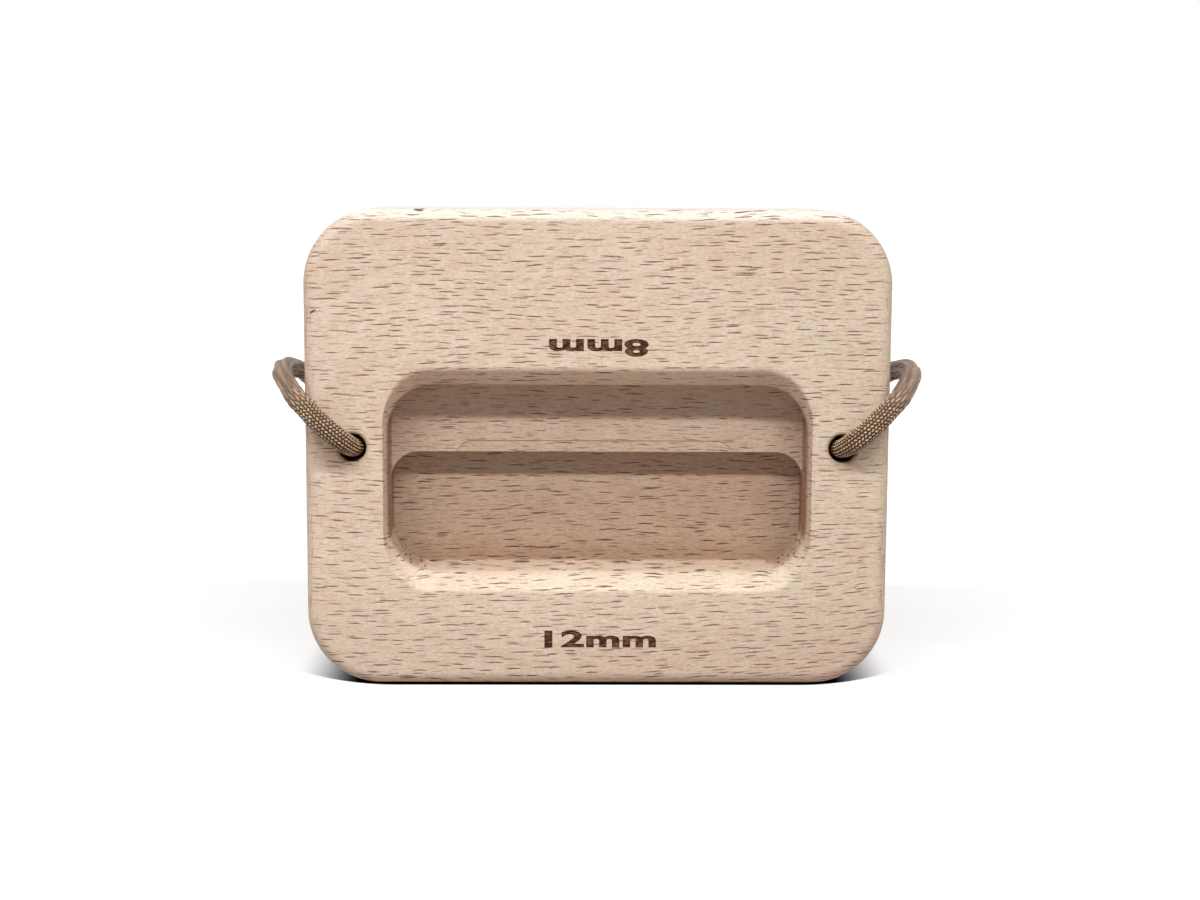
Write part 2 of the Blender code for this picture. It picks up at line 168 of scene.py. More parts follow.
class BoardSettings(bpy.types.PropertyGroup):
    corner_radius: length("Corner radius", "Radius of the block's four corners", 0.014)
    edge_radius: length("Edge radius", "Round-over of the block's edges", 0.0025)
    pocket_width: length("Pocket width", "Between the pocket's side walls", 0.0796)
    pocket_height: length("Pocket height", "Between the pocket's lower and upper walls", 0.0357)
    lower_rail: length("Lower rail", "From the board's lower edge to the pocket", 0.0214)
    deep_height: length("Deep part", "Height of the pocket's deeper, lower part", 0.0224)
    shallow_depth: length("Shallow ledge", "Depth of the pocket's upper part", 0.008)
    deep_depth: length("Deep ledge", "Depth of the pocket's lower part", 0.012)
    pocket_corner: length("Pocket corner", "Radius of the pocket's corners", 0.009)
    step_corner: length("Step corner", "Radius of the step's two upper corners", 0.0055)
    lip_chamfer: length("Lip chamfer", "Chamfer of the pocket's mouth, above and below", 0.0031)
    side_lip: length("Side lip", "How far the mouth widens at the sides", 0.0005)
    outer_rounding: length("Outer rounding", "Round-over between the front and the chamfer", 0.0018)
    inner_rounding: length("Inner rounding", "Round-over between the chamfer and the walls", 0.0020)
    hole_spacing: length("Hole spacing", "Between the two cord holes", 0.092)
    hole_height: length("Hole height", "From the board's lower edge to the holes", 0.0455)
    hole_radius: length("Hole radius", "Radius of the cord holes", 0.0025)
    hole_rim: length("Hole rim", "Round-over of the cord holes", 0.0008)
    cream: colour("Cream", "The palest tone of the beech", (0.87, 0.765, 0.635))
    rose: colour("Rose", "The warmer tone of the beech", (0.84, 0.70, 0.58))
    ray: colour("Ray", "What the short dark rays multiply the wood by", (0.20, 0.125, 0.09))


class MarkSettings(bpy.types.PropertyGroup):
    deep_mark: bpy.props.StringProperty(
        name="Deep mark", description="The mark below the pocket, for the deep ledge", default="12mm"
    )
    shallow_mark: bpy.props.StringProperty(
        name="Shallow mark", description="The mark above the pocket, upside down", default="8mm"
    )
    digit_height: length("Digit height", "Height of the marks' digits", 0.0030)
    deep_mark_width: length("Deep mark width", "Width of the mark for the deep ledge", 0.0212)
    shallow_mark_width: length("Shallow mark width", "Width of the mark for the shallow ledge", 0.0186)
    deep_mark_height: length("Deep mark height", "From the lower edge to the deep mark", 0.00875)
    shallow_mark_height: length("Shallow mark height", "From the lower edge to the shallow mark", 0.0646)
    burn_depth: length("Burn depth", "How deep the marks are burnt", 0.00022)
    burnt: colour("Burnt", "Colour of the burnt wood", (0.030, 0.011, 0.006))


class CordSettings(bpy.types.PropertyGroup):
    diameter: length("Diameter", "The cord's diameter", 0.004)
    relief: length("Relief", "How far the braid's strands stand out", 0.00030)
    pick_length: length("Pick length", "Distance between two strands of one column of the braid", 0.00066)
    columns: bpy.props.IntProperty(
        name="Columns", description="Columns of the braid round the cord", default=18, min=8, max=48
    )
    tan: colour("Tan", "Colour of the nylon", (0.375, 0.252, 0.163))
    strap: colour("Strap", "Colour of the strap round the coil", (0.035, 0.036, 0.04))


class StageSettings(bpy.types.PropertyGroup):
    main_power: power("Main light", "Power of the lamp in front, above the camera", 57.0)
    main_width: length("Main light width", "Width of the lamp in front", 3.0)
    main_height: length("Main light height", "Height of the lamp in front", 0.09)
    sky_strength: bpy.props.FloatProperty(
        name="Sky", description="Strength of the light from all round", default=0.18, min=0.0
    )
    sky: colour("Sky colour", "Colour of the light from all round", (1.0, 0.86, 0.77))
    floor: colour("Floor", "Colour of the floor", (0.38, 0.38, 0.38))
    bounce: colour("Bounce", "Colour of the floor for the light that it throws back", (0.42, 0.37, 0.34))


class Wire:
    """The output of a shader node. Arithmetic on it adds Math nodes."""

    def __init__(self, nodes, socket):
        self.nodes = nodes
        self.socket = socket

    def __add__(self, other):
        return self.nodes.math("ADD", self, other)

    __radd__ = __add__

    def __sub__(self, other):
        return self.nodes.math("SUBTRACT", self, other)

    def __rsub__(self, other):
        return self.nodes.math("SUBTRACT", other, self)

    def __mul__(self, other):
        return self.nodes.math("MULTIPLY", self, other)

    __rmul__ = __mul__

    def __truediv__(self, other):
        return self.nodes.math("DIVIDE", self, other)

    def __rtruediv__(self, other):
        return self.nodes.math("DIVIDE", other, self)


class Placed:
    """A placed node, whose outputs are read as wires by name or number."""

    def __init__(self, nodes, node):
        self.nodes = nodes
        self.node = node

    def __getitem__(self, output):
        return Wire(self.nodes, self.node.outputs[output])


class Nodes:
    """A node tree, and the ways of adding nodes to it."""

    def __init__(self, tree):
        self.tree = tree

    def node(self, kind, settings=None, values=None):
        node = self.tree.nodes.new(kind)
        for name, value in (settings or {}).items():
            if name == "stops":
                ramp = node.color_ramp
                while len(ramp.elements) < len(value):
                    ramp.elements.new(0.5)
                for element, (place, shade) in zip(ramp.elements, value):
                    element.position = place
                    element.color = (*shade, 1.0)
            else:
                setattr(node, name, value)
        for name, value in (values or {}).items():
            self.feed(node.inputs[name], value)
        return Placed(self, node)

    def feed(self, socket, value):
        if isinstance(value, Wire):
            self.tree.links.new(value.socket, socket)
        elif socket.type == "RGBA":
            socket.default_value = (*value[:3], 1.0)
        else:
            socket.default_value = value

    def math(self, operation, *terms):
        return self.node("ShaderNodeMath", {"operation": operation}, dict(enumerate(terms)))[0]

    def absolute(self, value):
        return self.math("ABSOLUTE", value)

    def floor(self, value):
        return self.math("FLOOR", value)

    def fraction(self, value):
        return self.math("FRACT", value)

    def larger(self, first, second):
        return self.math("MAXIMUM", first, second)

    def vector(self, operation, *terms):
        return self.node("ShaderNodeVectorMath", {"operation": operation}, dict(enumerate(terms)))[0]

    def split(self, vector):
        parts = self.node("ShaderNodeSeparateXYZ", None, {0: vector})
        return parts[0], parts[1], parts[2]

    def join(self, x, y, z):
        return self.node("ShaderNodeCombineXYZ", None, {0: x, 1: y, 2: z})[0]

    def length_of(self, x, y, z=0.0):
        values = {0: self.join(x, y, z)}
        return self.node("ShaderNodeVectorMath", {"operation": "LENGTH"}, values)["Value"]

    def grey(self, level):
        return self.node("ShaderNodeCombineColor", None, {0: level, 1: level, 2: level})[0]

    def mix(self, factor, first, second, blend="MIX"):
        settings = {"data_type": "RGBA", "blend_type": blend, "clamp_factor": True}
        return self.node("ShaderNodeMix", settings, {0: factor, 6: first, 7: second})[2]

    def stain(self, tone, factor, colour):
        """Multiplies a tone by a colour, as far as the factor says."""
        return self.mix(factor, tone, colour, "MULTIPLY")

    def noise(self, place, stretch, detail=2.0, roughness=0.5):
        """Noise on a place that is first multiplied by the stretch."""
        stretched = self.vector("MULTIPLY", place, stretch)
        values = {"Vector": stretched, "Scale": 1.0, "Detail": detail, "Roughness": roughness}
        return self.node("ShaderNodeTexNoise", {"noise_dimensions": "3D"}, values)["Fac"]

    def step(self, value, start, end):
        """Rises smoothly from 0 at start to 1 at end, or falls where start is the larger."""
        settings = {"interpolation_type": "SMOOTHSTEP", "clamp": True}
        return self.node("ShaderNodeMapRange", settings, {"Value": value, 1: start, 2: end})[0]

    def place_mm(self):
        """The place in the object, in millimetres."""
        metres = self.node("ShaderNodeTexCoord")["Object"]
        return self.vector("MULTIPLY", metres, (1 / MM, 1 / MM, 1 / MM))


class Paint(Nodes):
    """A material with its nodes."""

    def __init__(self, name, roughness=0.5, specular=0.5):
        self.material = bpy.data.materials.new(name)
        self.material.use_nodes = True
        super().__init__(self.material.node_tree)
        self.shader = self.tree.nodes["Principled BSDF"]
        self.shader.inputs["Roughness"].default_value = roughness
        self.shader.inputs["Specular IOR Level"].default_value = specular

    def set(self, **sockets):
        for name, value in sockets.items():
            self.feed(self.shader.inputs[name.replace("_", " ")], value)

    def bump(self, height_mm):
        values = {"Height": height_mm, "Distance": MM, "Strength": 1.0}
        self.set(Normal=self.node("ShaderNodeBump", None, values)["Normal"])


def wood_rays(paint, place, cell, half_size, shift, slope):
    """Short dark dashes along X, one in each cell, with a pale line below that is a painted highlight. All
    sizes are in millimetres.
    """
    scaled = paint.vector("MULTIPLY", place, tuple(1 / size for size in cell))
    moved = paint.vector("ADD", scaled, shift)
    values = {"Vector": moved, "Scale": 1.0, "Randomness": 0.9}
    cells = paint.node("ShaderNodeTexVoronoi", {"voronoi_dimensions": "3D", "feature": "F1"}, values)
    offset = paint.vector("SUBTRACT", moved, cells["Position"])
    x, y, z = paint.split(paint.vector("MULTIPLY", offset, cell))
    chance = paint.node("ShaderNodeSeparateColor", None, {0: cells["Color"]})
    size, strength, lean = chance[0], chance[1], chance[2]
    z = (z - x * (lean - 0.5) * slope) / half_size[2]
    along = x / (half_size[0] * (0.55 + 0.55 * size))
    inwards = y / half_size[1]
    strong = paint.step(strength, -0.15, 0.65)
    dash = paint.step(paint.length_of(along, inwards, z), 1.05, 0.6) * strong
    pale = paint.step(paint.length_of(along, inwards, z + 2.0), 1.0, 0.4) * strong
    return dash, pale


def spot(paint, place, middle, half_size, lean):
    """A small mark at one place on the board, in millimetres. Its long side may lean up to the right."""
    x, y, z = paint.split(paint.vector("SUBTRACT", place, middle))
    z = z - x * lean
    return paint.step(paint.length_of(x / half_size[0], y / half_size[1], z / half_size[2]), 1.0, 0.6)


# Painted shade in the pocket: how deep below the front, in millimetres, and what the wood is multiplied by
# there.
POCKET_PAINTED_SHADE_REACH = 16.0
POCKET_PAINTED_SHADES = (
    (0.0, WHITE),
    (1.0, WHITE),
    (3.5, (0.94, 0.91, 0.89)),
    (7.8, (0.70, 0.64, 0.61)),
    (12.2, (0.59, 0.50, 0.45)),
    (15.5, WHITE),
)
# Painted shade at the pocket's foot and along its side walls.
POCKET_FOOT_SHADE = (0.82, 0.77, 0.73)
POCKET_SIDE_SHADE = (0.60, 0.49, 0.43)


def pocket_painted_shade(paint, x, y, z, settings):
    """What the pocket's wood is multiplied by: painted shade, darker and redder the deeper it goes, less so
    on the lower wall, and darker at the foot and by the side walls.
    """
    middle = (settings.lower_rail + settings.pocket_height / 2) / MM
    half_width = settings.pocket_width / 2 / MM
    half_height = settings.pocket_height / 2 / MM
    base = settings.lower_rail / MM
    inside = paint.step(paint.absolute(x), half_width + 2.0, half_width + 1.5)
    inside = inside * paint.step(paint.absolute(z - middle), half_height + 4.0, half_height + 3.5)
    inside = inside * paint.step(y, FRONT_MM + 15.0, FRONT_MM + 14.0)
    share = (y - FRONT_MM) / POCKET_PAINTED_SHADE_REACH
    stops = [(place / POCKET_PAINTED_SHADE_REACH, shade) for place, shade in POCKET_PAINTED_SHADES]
    shade = paint.node("ShaderNodeValToRGB", {"stops": stops}, {"Fac": share})["Color"]
    lower_wall = paint.step(z, base + 0.8, base + 0.4)
    shade = paint.mix(0.45 * lower_wall, shade, WHITE)
    deep = paint.step(y, FRONT_MM + 2.0, FRONT_MM + 4.5)
    foot = deep * paint.step(z, base + 6.5, base + 1.0) * paint.step(z, base + 0.4, base + 0.8)
    shade = paint.stain(shade, foot, POCKET_FOOT_SHADE)
    side_wall = deep * paint.step(paint.absolute(x), half_width - 0.6, half_width - 0.3)
    shade = paint.stain(shade, side_wall, POCKET_SIDE_SHADE)
    return paint.mix(inside, WHITE, shade)


# The line above the step, in millimetres: its level, its middle, where it bends down and where it ends.
LINE_LEVEL = 45.85
LINE_MIDDLE = -0.5
LINE_STRAIGHT = 23.4
LINE_BEND = 0.22
LINE_END = 26.6


def tool_line(paint, x, y, z, settings):
    """The fine line that the mill left on the shallow ledge, above the step."""
    ledge = paint.step(paint.absolute(y - FRONT_MM - settings.shallow_depth / MM), 0.6, 0.3)
    from_middle = paint.absolute(x - LINE_MIDDLE)
    corner = paint.larger(from_middle - LINE_STRAIGHT, 0.0)
    level = LINE_LEVEL - LINE_BEND * corner * corner
    reach = paint.step(from_middle, LINE_END, LINE_END - 0.3)
    return ledge * reach * paint.step(paint.absolute(z - level), 0.17, 0.04)


# The chip on the board's upper edge and the fleck on its left side: middle, half size and lean.
WOOD_SPOTS = (
    ((-33.3, -10.6, 89.7), (1.3, 1.4, 0.36), -0.15),
    ((-32.7, -9.9, 89.8), (0.6, 1.2, 0.6), 0.3),
    ((-53.0, -11.5, 71.0), (0.85, 1.9, 0.36), 0.55),
)
SPOT_COLOUR = (0.14, 0.07, 0.04)

# The tree's rings: the height and depth of their middle, and their width, in millimetres.
RING_MIDDLE = (49.0, -44.0)
RING_WIDTH = 3.1


def along_grain(paint, place):
    """The same place, with its height read along the wavy grain."""
    x, y, z = paint.split(place)
    sway = paint.noise(place, (0.022, 0.03, 0.05), detail=1.0) - 0.5
    ripple = paint.noise(place, (0.35, 0.2, 0.6), detail=1.0) - 0.5
    rise = (0.05 * x + 0.00045 * x * x) * paint.step(z, 42.0, 4.0)
    return paint.join(x, y, z + 4.0 * sway + 0.35 * ripple - rise)


def rings_and_painted_light(paint, place, grain, settings):
    """The beech's broad tones: its rings, and painted light: painted shade that darkens its right half and
    its foot, and a painted highlight that pales its upper and lower edges.
    """
    x, y, z = paint.split(place)
    _, _, level = paint.split(grain)
    ring_radius = paint.length_of(level - RING_MIDDLE[0], y - 0.3 * x - RING_MIDDLE[1])
    blotch = paint.noise(place, (0.035, 0.05, 0.07), detail=3.0)
    ring = paint.fraction(ring_radius / RING_WIDTH + 1.1 * blotch)
    ring_tone = paint.step(ring, 0.1, 0.95) * paint.step(ring, 1.0, 0.95)
    tone = paint.mix(paint.step(blotch, 0.32, 0.68), settings.cream, settings.rose)
    tone = paint.stain(tone, 0.18 * ring_tone, (0.80, 0.70, 0.62))
    # Painted shade: the right half is a little darker.
    tone = paint.stain(tone, paint.step(x, 5.0, END_MM - 3.0), (0.93, 0.92, 0.91))
    # Painted shade: darker towards the foot.
    tone = paint.stain(tone, paint.step(z, 22.0, 0.0), (0.86, 0.84, 0.83))
    # Painted highlight: the upper edge turns paler.
    tone = paint.mix(paint.step(z, TOP_MM - 2.6, TOP_MM - 0.5), tone, (0.98, 0.95, 0.88))
    # Painted light: the lowest round-over is made paler against its shading.
    return paint.stain(tone, paint.step(z, 2.2, 0.5), (1.20, 1.20, 1.20))


def hole_painted_shade(paint, tone, x, z, settings):
    """Painted shade: darkens the wood on the rims of the cord holes, and nearly blacks it in them."""
    from_hole = paint.absolute(x) - settings.hole_spacing / 2 / MM
    distance = paint.length_of(from_hole, z - settings.hole_height / MM)
    radius = settings.hole_radius / MM
    tone = paint.stain(tone, paint.step(distance, radius + 1.0, radius + 0.5), (0.84, 0.78, 0.68))
    return paint.stain(tone, paint.step(distance, radius + 0.20, radius + 0.08), (0.10, 0.07, 0.05))


def beech(settings):
    """Sanded beech: pale rings, fine fibres, and short dark rays that lie along the grain."""
    paint = Paint("sanded_beech")
    place = paint.place_mm()
    x, y, z = paint.split(place)
    grain = along_grain(paint, place)
    tone = rings_and_painted_light(paint, place, grain, settings)

    fibre = paint.noise(grain, (0.12, 1.6, 3.0), detail=4.0, roughness=0.65)
    pores = paint.step(paint.noise(grain, (0.9, 4.0, 7.0)), 0.54, 0.72)
    grit = paint.noise(grain, (1.6, 5.0, 4.5), detail=3.0, roughness=0.7)
    mottle = paint.noise(grain, (0.25, 0.5, 0.8), detail=3.0)
    tone = paint.stain(tone, 0.45 * paint.step(fibre, 0.35, 0.75), (0.88, 0.81, 0.74))
    tone = paint.stain(tone, 0.30 * pores, (0.74, 0.63, 0.54))
    tone = paint.stain(tone, paint.step(grit, 0.36, 0.64), (0.82, 0.79, 0.74))
    tone = paint.stain(tone, paint.step(mottle, 0.40, 0.60), (1.0, 0.965, 0.955))

    end_grain = paint.step(paint.absolute(x), END_MM - 2.6, END_MM - 0.4)
    threads = paint.step(paint.noise(place, (0.2, 3.2, 0.22)), 0.54, 0.66)
    tone = paint.stain(tone, 0.8 * end_grain * threads, (0.62, 0.50, 0.42))

    strong, below_strong = wood_rays(
        paint, grain, cell=(4.2, 2.2, 1.05), half_size=(2.4, 1.3, 0.15), shift=(0.3, 0.1, 0.7), slope=0.06
    )
    weak, below_weak = wood_rays(
        paint, grain, cell=(2.9, 1.9, 0.74), half_size=(1.5, 1.0, 0.095), shift=(5.2, 3.7, 9.1), slope=0.10
    )
    from_middle = paint.absolute(z - TOP_MM / 2)
    flat = paint.step(from_middle, TOP_MM / 2 - 0.8, TOP_MM / 2 - 0.05)
    flat = flat * paint.step(y, FRONT_MM + 1.5, FRONT_MM + 3.0)
    shown = 1.0 - paint.larger(0.8 * end_grain, 0.92 * flat)
    # Painted highlight: a pale line below each ray.
    below = paint.larger(below_strong, 0.6 * below_weak)
    tone = paint.stain(tone, 0.5 * shown * below, (1.10, 1.12, 1.14))
    tone = paint.stain(tone, 0.95 * shown * strong, settings.ray)
    tone = paint.stain(tone, 0.6 * shown * weak, settings.ray)

    line = tool_line(paint, x, y, z, settings)
    # Painted shade in the pocket, then round and in the holes.
    tone = paint.stain(tone, 1.0, pocket_painted_shade(paint, x, y, z, settings))
    tone = paint.stain(tone, 0.9 * line, (0.50, 0.38, 0.30))
    tone = hole_painted_shade(paint, tone, x, z, settings)
    for middle, half_size, lean in WOOD_SPOTS:
        tone = paint.stain(tone, 0.97 * spot(paint, place, middle, half_size, lean), SPOT_COLOUR)

    paint.set(Base_Color=tone, Roughness=0.46 + 0.12 * fibre)
    paint.bump(0.010 * fibre - 0.020 * strong - 0.010 * pores - 0.03 * line)
    return paint.material


BURNT_PALE = (0.17, 0.082, 0.038)


def burnt_wood(settings):
    """The floor of a burnt mark, with the fine lines of the burning beam."""
    paint = Paint("burnt_beech", roughness=0.75, specular=0.25)
    place = paint.place_mm()
    lines = paint.noise(place, (0.6, 0.5, 3.2))
    patches = paint.noise(place, (0.9, 0.9, 0.9))
    paler = paint.step(0.6 * lines + 0.4 * patches, 0.43, 0.58)
    paint.set(Base_Color=paint.mix(paler, settings.burnt, BURNT_PALE))
    paint.bump(0.05 * lines)
    return paint.material


# One strand of the braid, as shares of its cell: a column wide and a pick long.
PICK_LEAN = math.radians(36)
PICK_HALF_WIDTH = 0.36
PICK_HALF_LENGTH = 0.56


def strand_height(around, picks, columns, floor, fraction):
    """How far the braid stands out, squared: 1 on top of a strand, and 0 or less in a gap.

    It serves the mesh, with numbers, and the material, with wires. The floor and fraction are theirs.
    """
    column = around * columns
    odd = 2.0 * fraction(0.5 * floor(column))
    across = fraction(column) - 0.5
    lengthways = fraction(picks + 0.5 * odd) - 0.5
    side = 1.0 - 2.0 * odd
    cos, sin = math.cos(PICK_LEAN), math.sin(PICK_LEAN)
    narrow = (across * cos + lengthways * side * sin) / PICK_HALF_WIDTH
    long = (lengthways * cos - across * side * sin) / PICK_HALF_LENGTH
    return 1.0 - narrow * narrow - long * long


# Painted shade in the braid's gaps and fold valleys, and a painted highlight on the strands' tops.
BRAID_GAP_SHADE = (0.062, 0.032, 0.014)
STRAND_TOP_HIGHLIGHT = (1.55, 1.60, 1.66)
STRETCHED_TONE = (0.80, 0.78, 0.78)
STRETCHED_LOSS = 0.8


def nylon(name, settings, bump_share):
    """Braided tan nylon, with painted shade in its gaps and folds and painted highlights on its strands'
    tops. The UV map runs once round the cord, and along it in picks of the braid.
    """
    paint = Paint(name, roughness=0.40, specular=0.3)
    around, picks, _ = paint.split(paint.node("ShaderNodeUVMap", {"uv_map": "braid"})[0])
    stretched = paint.node("ShaderNodeAttribute", {"attribute_name": "stretched"})["Fac"]
    folded = paint.node("ShaderNodeAttribute", {"attribute_name": "folded"})["Fac"]
    height = strand_height(around, picks, settings.columns, paint.floor, paint.fraction)
    height = paint.math("SQRT", paint.larger(height, 0.0))
    braided = 1.0 - STRETCHED_LOSS * stretched
    column = paint.floor(around * settings.columns)
    pick = paint.floor(picks + paint.fraction(0.5 * column))
    values = {"Vector": paint.join(column, pick, 0.0)}
    chance = paint.node("ShaderNodeTexWhiteNoise", {"noise_dimensions": "2D"}, values)["Value"]
    tone = paint.stain(settings.tan, 1.0, paint.grey(0.68 + 0.72 * chance))
    # Painted highlight on top of each strand.
    tone = paint.stain(tone, paint.step(height, 0.62, 0.98) * (1.0 - stretched), STRAND_TOP_HIGHLIGHT)
    # Painted shade in the gaps between strands.
    tone = paint.mix(paint.step(height, 0.72, 0.10) * braided, tone, BRAID_GAP_SHADE)
    # Painted shade in the valleys of the folds.
    tone = paint.mix(0.45 * paint.step(folded, 0.35, 0.95), tone, BRAID_GAP_SHADE)
    tone = paint.stain(tone, stretched, STRETCHED_TONE)
    threads = paint.noise(paint.join(around, picks, column), (260.0, 1.5, 3.7), detail=1.0)
    paint.set(Base_Color=tone)
    paint.bump(settings.relief / MM * bump_share * height * braided + 0.02 * threads)
    return paint.material


RIB_SPACING_MM = 0.8
WEFT_SPACING_MM = 0.6


def webbing(settings):
    """The dark woven strap round the coil."""
    paint = Paint("dark_webbing", roughness=0.8, specular=0.3)
    x, y, z = paint.split(paint.place_mm())
    ribs = paint.math("SINE", x * (2 * math.pi / RIB_SPACING_MM))
    wefts = paint.math("SINE", (y + z) * (2 * math.pi / WEFT_SPACING_MM))
    weave = 0.5 + 0.25 * ribs + 0.25 * wefts
    paint.set(Base_Color=paint.mix(weave, tuple(0.5 * level for level in settings.strap), settings.strap))
    paint.bump(0.08 * weave)
    return paint.material


def deselect_all():
    bpy.ops.object.select_all(action="DESELECT")


def select_only(piece):
    deselect_all()
    bpy.context.view_layer.objects.active = piece
    piece.select_set(True)


def edit(piece):
    select_only(piece)
    bpy.ops.object.mode_set(mode="EDIT")


def leave_edit():
    bpy.ops.object.mode_set(mode="OBJECT")


def choose(piece, kind, wanted):
    """Selects only the edges or faces that are wanted, in edit mode."""
    bpy.ops.mesh.select_mode(type=kind)
    bpy.ops.mesh.select_all(action="DESELECT")
    bm = bmesh.from_edit_mesh(piece.data)
    for item in bm.edges if kind == "EDGE" else bm.faces:
        if wanted(item):
            item.select_set(True)
    bmesh.update_edit_mesh(piece.data)


def box_between(name, low, high):
    """A cube primitive with its lowest and highest corners at the given places."""
    deselect_all()
    size = Vector(high) - Vector(low)
    bpy.ops.mesh.primitive_cube_add(size=1.0, location=(Vector(low) + Vector(high)) / 2)
    piece = bpy.context.object
    piece.name = name
    piece.scale = size
    bpy.ops.object.transform_apply(location=True, rotation=True, scale=True)
    return piece


NEARLY_EQUAL = 1e-7
NEARLY_LEVEL = 1e-6


def round_corners(piece, radius, segments, upper=None):
    """Rounds the box's edges that run along Y: all four, or only the upper or the lower pair."""
    low = min(v.co.z for v in piece.data.vertices)
    high = max(v.co.z for v in piece.data.vertices)
    middle = (low + high) / 2

    def along_y(edge):
        first, second = (vert.co for vert in edge.verts)
        level = (first - second).xz.length < NEARLY_EQUAL
        corner = len(edge.link_faces) == 2 and edge.calc_face_angle(0.0) > math.radians(60)
        return level and corner and (upper is None or (first.z > middle) == upper)

    edit(piece)
    choose(piece, "EDGE", along_y)
    bpy.ops.mesh.bevel(offset=radius, offset_type="OFFSET", segments=segments, profile=0.5, affect="EDGES")
    leave_edit()


def apply_modifier(piece, kind, **settings):
    select_only(piece)
    modifier = piece.modifiers.new(kind.lower(), kind)
    for name, value in settings.items():
        setattr(modifier, name, value)
    bpy.ops.object.modifier_apply(modifier=modifier.name)


def cut(piece, cutter):
    apply_modifier(
        piece, "BOOLEAN", operation="DIFFERENCE", solver="EXACT", object=cutter, material_mode="TRANSFER"
    )
    bpy.data.objects.remove(cutter)


# How finely the board's rounded forms are made.
POCKET_SEGMENTS = 20
LIP_SEGMENTS = 8
CORNER_SEGMENTS = 28
EDGE_SEGMENTS = 8
HOLE_SIDES = 64
RIM_SEGMENTS = 6

# How much narrower the mill's second pass is, and how far a cutter starts before the front.
SECOND_PASS_INSET = 0.00025
CUTTER_START = 2 * MM


def lip_profile(settings):
    """The lip's section, from the mouth inwards: (how far it stands out from the pocket's wall, depth)."""
    lean = math.pi / 4
    chamfer = settings.lip_chamfer
    profile = []
    for radius, corner, outer in (
        (settings.outer_rounding, (chamfer, 0.0), True),
        (settings.inner_rounding, (0.0, chamfer), False),
    ):
        reach = radius * math.tan(lean / 2)
        middle = (corner[0] + reach, radius) if outer else (radius, corner[1] + reach)
        start = 2 * lean if outer else lean
        for step in range(LIP_SEGMENTS + 1):
            turn = start - lean * step / LIP_SEGMENTS
            profile.append((middle[0] - radius * math.cos(turn), middle[1] - radius * math.sin(turn)))
    return profile


def is_cap(face, end):
    """Whether a face closes a cutter towards the front (-1) or the back (1). The others have four sides."""
    return face.normal.y * end > 0.9 and len(face.verts) > 4


def push_selected(distance):
    bpy.ops.mesh.extrude_region_move(TRANSFORM_OT_translate={"value": (0.0, distance, 0.0)})


def pocket_cutter(settings):
    """The whole pocket down to the shallow ledge, with the flare that leaves its lip."""
    half = Vector((settings.pocket_width, 0.0, settings.pocket_height)) / 2
    centre = Vector((0.0, FRONT, settings.lower_rail + half.z))
    cutter = box_between("pocket_cutter", centre - half - Vector((0.0, CUTTER_START, 0.0)), centre + half)
    round_corners(cutter, settings.pocket_corner, POCKET_SEGMENTS)
    edit(cutter)
    bpy.ops.mesh.select_all(action="SELECT")
    depth, wide, high = 0.0, 1.0, 1.0
    for out, place in lip_profile(settings):
        if place > 0:
            choose(cutter, "FACE", lambda face: is_cap(face, 1))
            push_selected(place - depth)
        wider = 1 + out * settings.side_lip / settings.lip_chamfer / half.x
        higher = 1 + out / half.z
        bpy.ops.transform.resize(value=(wider / wide, 1.0, higher / high), center_override=centre)
        depth, wide, high = place, wider, higher
    push_selected(settings.shallow_depth - depth)
    leave_edit()
    return cutter


def deep_cutter(settings):
    """The second pass of the mill, a hair narrower, down to the deep ledge."""
    half = settings.pocket_width / 2 - SECOND_PASS_INSET
    low = (-half, FRONT + settings.shallow_depth / 2, settings.lower_rail + SECOND_PASS_INSET)
    high = (half, FRONT + settings.deep_depth, settings.lower_rail + settings.deep_height)
    cutter = box_between("deep_cutter", low, high)
    round_corners(cutter, settings.pocket_corner - SECOND_PASS_INSET, POCKET_SEGMENTS, upper=False)
    round_corners(cutter, settings.step_corner, POCKET_SEGMENTS, upper=True)
    return cutter


def hole_cutter(settings, side):
    """A turned pin with flared ends, which leaves a hole with rounded rims."""
    deselect_all()
    rim, radius = settings.hole_rim, settings.hole_radius
    straight = BOARD_SIZE.y / 2 - rim
    place = Vector((side * settings.hole_spacing / 2, 0.0, settings.hole_height))
    bpy.ops.mesh.primitive_cylinder_add(
        vertices=HOLE_SIDES, radius=radius, depth=2 * straight, location=place, rotation=(math.pi / 2, 0, 0)
    )
    cutter = bpy.context.object
    bpy.ops.object.transform_apply(location=True, rotation=True, scale=True)
    edit(cutter)
    for end in (-1, 1):
        choose(cutter, "FACE", lambda face: is_cap(face, end))
        reached = Vector((radius, straight))
        for step in range(1, RIM_SEGMENTS + 1):
            turn = math.pi / 2 * step / RIM_SEGMENTS
            wanted = Vector((radius + rim * (1 - math.cos(turn)), straight + rim * math.sin(turn)))
            push_selected(end * (wanted.y - reached.y))
            centre = place + Vector((0.0, end * wanted.y, 0.0))
            grow = wanted.x / reached.x
            bpy.ops.transform.resize(value=(grow, 1.0, grow), center_override=centre)
            reached = wanted
        push_selected(end * CUTTER_START)
    bpy.ops.mesh.select_all(action="SELECT")
    bpy.ops.mesh.normals_make_consistent(inside=False)
    leave_edit()
    return cutter


# The marks' letters: the digits' share of the text size, and how wide and heavy the letters are set.
DIGIT_SHARE = 0.70
MARK_SPACING = 1.06
MARK_WEIGHT = 0.054
MARK_CURVE_STEPS = 4


